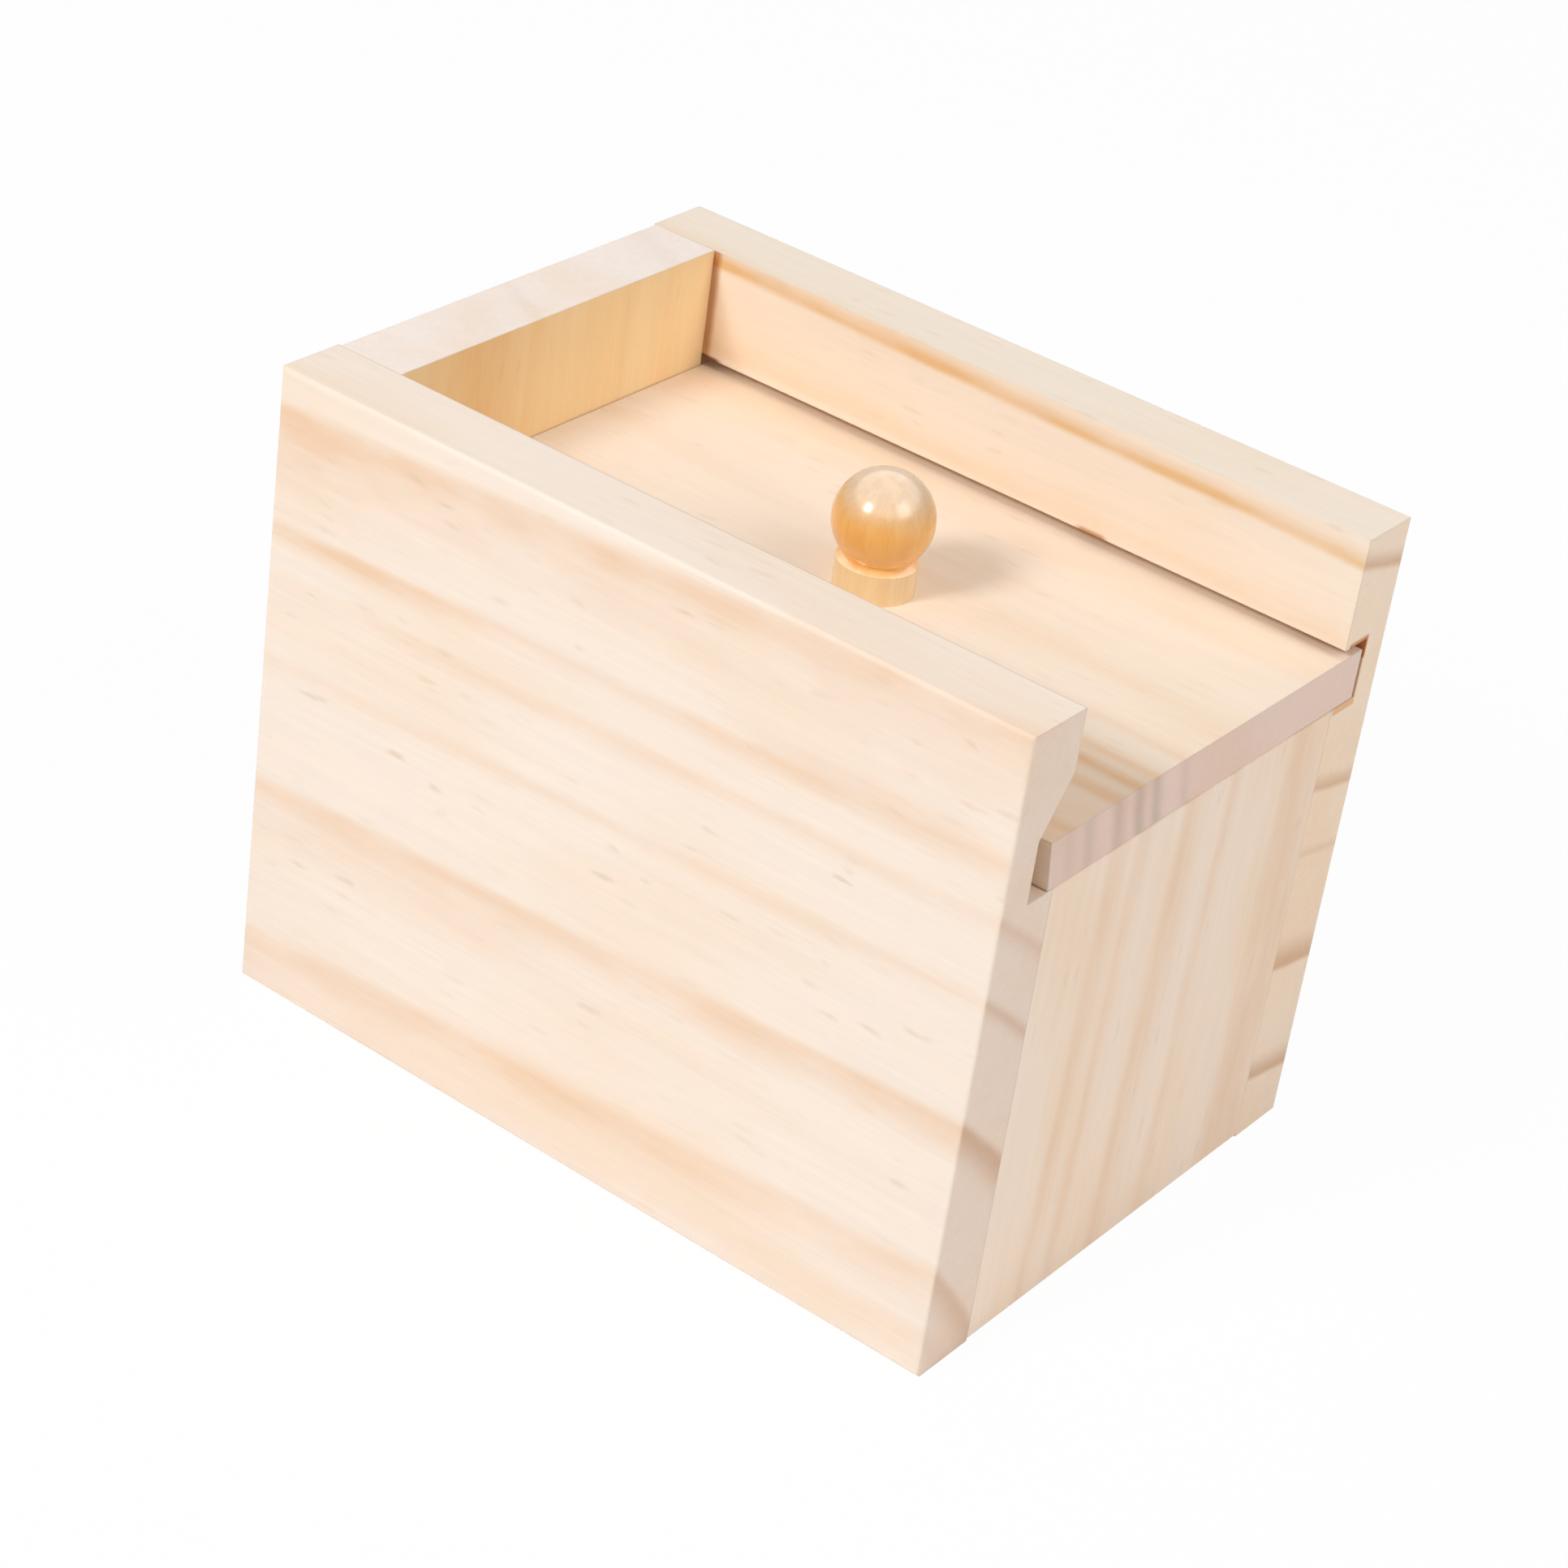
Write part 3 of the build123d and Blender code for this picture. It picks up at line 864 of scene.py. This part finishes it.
def make_spider_moulding():
    """Body, eyes, jaws, feelers and eight jointed legs, fused as one moulding."""
    shape = bmesh.new()
    # Abdomen and head
    add_lobe(shape, (-3.4, 0, 0), (6.0, 4.3, 4.3), abdomen_swell)
    add_lobe(shape, (4.6, 0, 0), (4.0, 3.1, 3.0), head_swell)
    for side in (-1, 1):
        add_limb(shape, on_side(spinneret, side))
        for *middle, radius in on_side(eyes, side):
            add_lobe(shape, middle, (radius, radius, radius), rows=12, columns=14)
        for limb in (jaw, fang, feeler):
            add_limb(shape, on_side(limb, side))
        for place in leg_places:
            add_leg(shape, place, side)
    piece = make_piece("spider_moulding", shape)
    fused = piece.modifiers.new("fused", "REMESH")
    fused.mode = "VOXEL"
    fused.voxel_size = moulding_voxel
    fused.use_smooth_shade = True
    smoothed = piece.modifiers.new("smoothed", "SMOOTH")
    smoothed.factor = 0.5
    smoothed.iterations = 4
    apply_modifiers(piece)
    return piece


def apply_modifiers(piece):
    """Turns what the modifiers make into the piece's own mesh."""
    bpy.context.view_layer.update()
    result = bpy.data.meshes.new_from_object(piece.evaluated_get(bpy.context.evaluated_depsgraph_get()))
    piece.modifiers.clear()
    piece.data = result


def make_bristle_tree(material):
    """Short moulded bristles, scattered over a surface, each leaning a little its own way."""
    tree = bpy.data.node_groups.new("bristles", "GeometryNodeTree")
    tree.interface.new_socket("Surface", in_out="INPUT", socket_type="NodeSocketGeometry")
    tree.interface.new_socket("Geometry", in_out="OUTPUT", socket_type="NodeSocketGeometry")
    surface = tree.nodes.new("NodeGroupInput").outputs["Surface"]
    inputs = {"Mesh": surface, "Density": bristles_per_square_metre, "Seed": bristle_seed}
    points = add(tree, "GeometryNodeDistributePointsOnFaces", inputs).outputs
    bristle = add(
        tree,
        "GeometryNodeMeshCone",
        {
            "Vertices": 5,
            "Radius Top": bristle_tip_radius,
            "Radius Bottom": bristle_thickness / 2,
            "Depth": bristle_length,
        },
    ).outputs["Mesh"]
    lean = add(
        tree,
        "FunctionNodeRandomValue",
        {0: (-0.5, -0.5, -3.0), 1: (0.5, 0.5, 3.0), "Seed": bristle_seed},
        data_type="FLOAT_VECTOR",
    ).outputs[0]
    turned = add(
        tree, "FunctionNodeRotateRotation", {0: points["Rotation"], 1: lean}, rotation_space="LOCAL"
    ).outputs[0]
    size = add(
        tree, "FunctionNodeRandomValue", {2: 0.5, 3: 1.1, "Seed": bristle_seed}, data_type="FLOAT"
    ).outputs[1]
    placed = add(
        tree,
        "GeometryNodeInstanceOnPoints",
        {"Points": points["Points"], "Instance": bristle, "Rotation": turned, "Scale": size},
    ).outputs[0]
    real = add(tree, "GeometryNodeRealizeInstances", [placed]).outputs[0]
    coated = add(tree, "GeometryNodeSetMaterial", {"Geometry": real, "Material": material}).outputs[0]
    add(tree, "NodeGroupOutput", [coated])
    return tree


def make_bristles(moulding, material):
    piece = bpy.data.objects.new("spider_bristles", moulding.data.copy())
    bpy.context.scene.collection.objects.link(piece)
    grown = piece.modifiers.new("bristles", "NODES")
    grown.node_group = make_bristle_tree(material)
    apply_modifiers(piece)
    return piece


rubber = finishes["rubber_spider"]
moulding = make_spider_moulding()
coat(moulding, rubber)
bristles = make_bristles(moulding, rubber)
for piece in (moulding, bristles):
    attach(piece, "spider_arm")
    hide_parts("rubber_spider")


# Knob screw, in mm. Heights are from the lid's underside, where its head lies.
screw_sides = 40
head_rim = 0.15
head_depth = 1.25
head_radius = 2.5
neck_radius = 1.25
head_steps = 6
thread_pitch = 1.1
thread_step = 0.11
thread_steps = 88
point_from = 11.05
point_steps = 13
thread_core = 0.92
thread_height = 0.32
thread_half_width = 0.28
thread_start = 1.3
thread_run_in = 2.0
neck_swell = 0.3
taper_from = 10.2
taper_length = 2.4
tip_share = 0.04

# Each blade of the cross recess, level by level: height, half its length and half its width
recess_turn = 0.35
recess_levels = [(-0.4, 1.55, 0.3), (0.0, 1.45, 0.28), (1.5, 0.55, 0.17)]


def thread_radius(height, side):
    """The screw's radius: its core, the crest that winds round it, and the taper to its point."""
    phase = (height / thread_pitch - side / screw_sides) % 1.0
    crest = max(0.0, 1 - abs(phase - 0.5) / thread_half_width)
    taper = 1.0
    if height > taper_from:
        taper = max(tip_share, 1 - (height - taper_from) / taper_length)
    grip = min(1.0, (height - thread_start) / thread_run_in)
    return (thread_core + crest * thread_height * grip) * taper + (1 - grip) * neck_swell


def make_knob_screw():
    """A countersunk wood screw, driven up from under the lid: head, cross recess, thread and point."""
    under = lid_top - lid_thickness
    profile = [(0.0, head_radius), (head_rim, head_radius)]
    for step in range(1, head_steps + 1):
        share = step / head_steps
        height = head_rim + (head_depth - head_rim) * share
        profile.append((height, head_radius + (neck_radius - head_radius) * share))
    profile += [(head_depth + step * thread_step, None) for step in range(1, thread_steps + 1)]
    profile += [(point_from + step * thread_step, None) for step in range(1, point_steps + 1)]
    shape = bmesh.new()
    rings = []
    for height, radius in profile:
        ring = []
        for side in range(screw_sides):
            turn = 2 * pi * side / screw_sides
            across = thread_radius(height, side) if radius is None else radius
            at = Vector((knob_x + across * cos(turn), knob_y + across * sin(turn), under + height))
            ring.append(shape.verts.new(at / 1000))
        rings.append(ring)
    join_rings(shape, rings)
    shape.faces.new(list(reversed(rings[0])))
    shape.faces.new(rings[-1])
    piece = make_piece("cross_head_screw", shape)
    cutter = make_recess_cutter(under)
    recess = piece.modifiers.new("recess", "BOOLEAN")
    recess.operation = "DIFFERENCE"
    recess.solver = "EXACT"
    recess.use_self = True
    recess.object = cutter
    apply_modifiers(piece)
    bpy.data.objects.remove(cutter)
    return piece


def make_recess_cutter(under):
    """Two tapered blades that cross, for the recess in the screw's head."""
    shape = bmesh.new()
    for turn in (recess_turn, recess_turn + pi / 2):
        long_way = Vector((cos(turn), sin(turn), 0))
        short_way = Vector((-sin(turn), cos(turn), 0))
        levels = []
        for height, half_long, half_wide in recess_levels:
            middle = Vector((knob_x, knob_y, under + height))
            level = []
            for a, b in [(1, 1), (-1, 1), (-1, -1), (1, -1)]:
                corner = middle + long_way * a * half_long + short_way * b * half_wide
                level.append(shape.verts.new(corner / 1000))
            levels.append(level)
        join_rings(shape, levels)
        shape.faces.new(list(reversed(levels[0])))
        shape.faces.new(levels[-1])
    return make_piece("recess_cutter", shape)


screw = make_knob_screw()
coat(screw, screw_steel)
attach(screw, "lid")
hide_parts("knob_screw")


# Stage, lamps and camera, in metres and degrees
plain_white = (1, 1, 1, 1)
paper_tone = (0.9, 0.9, 0.9, 1)
floor_reach = 3.0
bright_share = 0.96
world_level = 0.36
ceiling_level = 3.4
lamp_target = Vector((0, 0, 0.05))
camera_place = (0.17696, -0.26687, 0.22184)
camera_turn = (58.67, -7.21, 38.15)
camera_lens = 92.18


def make_floor():
    """A white sheet to stand on, bright to the camera and still holding the box's shadow."""
    mesh = bpy.data.meshes.new("floor")
    corners = [(x * floor_reach, y * floor_reach, 0) for x, y in ((-1, -1), (1, -1), (1, 1), (-1, 1))]
    mesh.from_pydata(corners, [], [(0, 1, 2, 3)])
    floor = bpy.data.objects.new("floor", mesh)
    bpy.context.scene.collection.objects.link(floor)
    material = bpy.data.materials.new("white_paper")
    material.use_nodes = True
    tree = material.node_tree
    tree.nodes.clear()
    paper = add(tree, "ShaderNodeBsdfDiffuse", {"Color": paper_tone}).outputs[0]
    bright = add(tree, "ShaderNodeEmission", {"Color": plain_white, "Strength": 1.0}).outputs[0]
    share = calc(tree, "MULTIPLY", seen_directly(tree), bright_share)
    mixed = add(tree, "ShaderNodeMixShader", [share, paper, bright]).outputs[0]
    add(tree, "ShaderNodeOutputMaterial", [mixed])
    mesh.materials.append(material)


def seen_directly(tree):
    """1 for what the camera sees, also in or through gloss and glass."""
    path = add(tree, "ShaderNodeLightPath").outputs
    gloss = calc(tree, "MAXIMUM", path["Is Camera Ray"], path["Is Glossy Ray"])
    return calc(tree, "MAXIMUM", gloss, path["Is Transmission Ray"])


def make_world():
    """Even light from all round, a white background, and a bright ceiling that only gloss shows."""
    world = bpy.data.worlds.new("studio")
    bpy.context.scene.world = world
    world.use_nodes = True
    tree = world.node_tree
    tree.nodes.clear()
    light = add(tree, "ShaderNodeBackground", {"Color": plain_white, "Strength": world_level}).outputs[0]
    white = add(tree, "ShaderNodeBackground", {"Color": plain_white, "Strength": 1.0}).outputs[0]
    direction = add(tree, "ShaderNodeTexCoord").outputs["Generated"]
    upwards = add(tree, "ShaderNodeSeparateXYZ", [direction]).outputs[2]
    level = stretch(tree, upwards, 0.36, 0.56, 1.0, ceiling_level)
    ceiling = add(tree, "ShaderNodeBackground", {"Color": plain_white, "Strength": level}).outputs[0]
    gloss = add(tree, "ShaderNodeLightPath").outputs["Is Glossy Ray"]
    seen = add(tree, "ShaderNodeMixShader", [gloss, white, ceiling]).outputs[0]
    mixed = add(tree, "ShaderNodeMixShader", [seen_directly(tree), light, seen]).outputs[0]
    add(tree, "ShaderNodeOutputWorld", [mixed])


def soft_box(name, azimuth, elevation, distance, size, level):
    """A square lamp that faces the box. Azimuth is from +X towards +Y; level is its brightness."""
    lamp = bpy.data.lights.new(name, "AREA")
    lamp.shape = "SQUARE"
    lamp.size = size
    lamp.energy = level * 4 * size**2
    obj = bpy.data.objects.new(name, lamp)
    flat = cos(radians(elevation)) * distance
    up = sin(radians(elevation)) * distance
    away = Vector((flat * cos(radians(azimuth)), flat * sin(radians(azimuth)), up))
    obj.location = lamp_target + away
    obj.rotation_euler = (obj.location - lamp_target).to_track_quat("Z", "Y").to_euler()
    bpy.context.scene.collection.objects.link(obj)


def make_camera():
    """The photograph's view: a long lens from the front right, a little rolled."""
    lens = bpy.data.cameras.new("camera")
    lens.sensor_width = 36
    lens.lens = camera_lens
    camera = bpy.data.objects.new("camera", lens)
    camera.location = camera_place
    camera.rotation_euler = Euler([radians(angle) for angle in camera_turn], "XYZ")
    bpy.context.scene.collection.objects.link(camera)
    bpy.context.scene.camera = camera


make_floor()
make_world()
soft_box("key", azimuth=-105, elevation=37, distance=1.0, size=0.26, level=18.9)
soft_box("fill", azimuth=0, elevation=40, distance=1.0, size=0.5, level=2.8)
soft_box("overhead", azimuth=0, elevation=90, distance=1.2, size=0.8, level=0.5)
make_camera()
bpy.context.scene.view_settings.view_transform = "Standard"
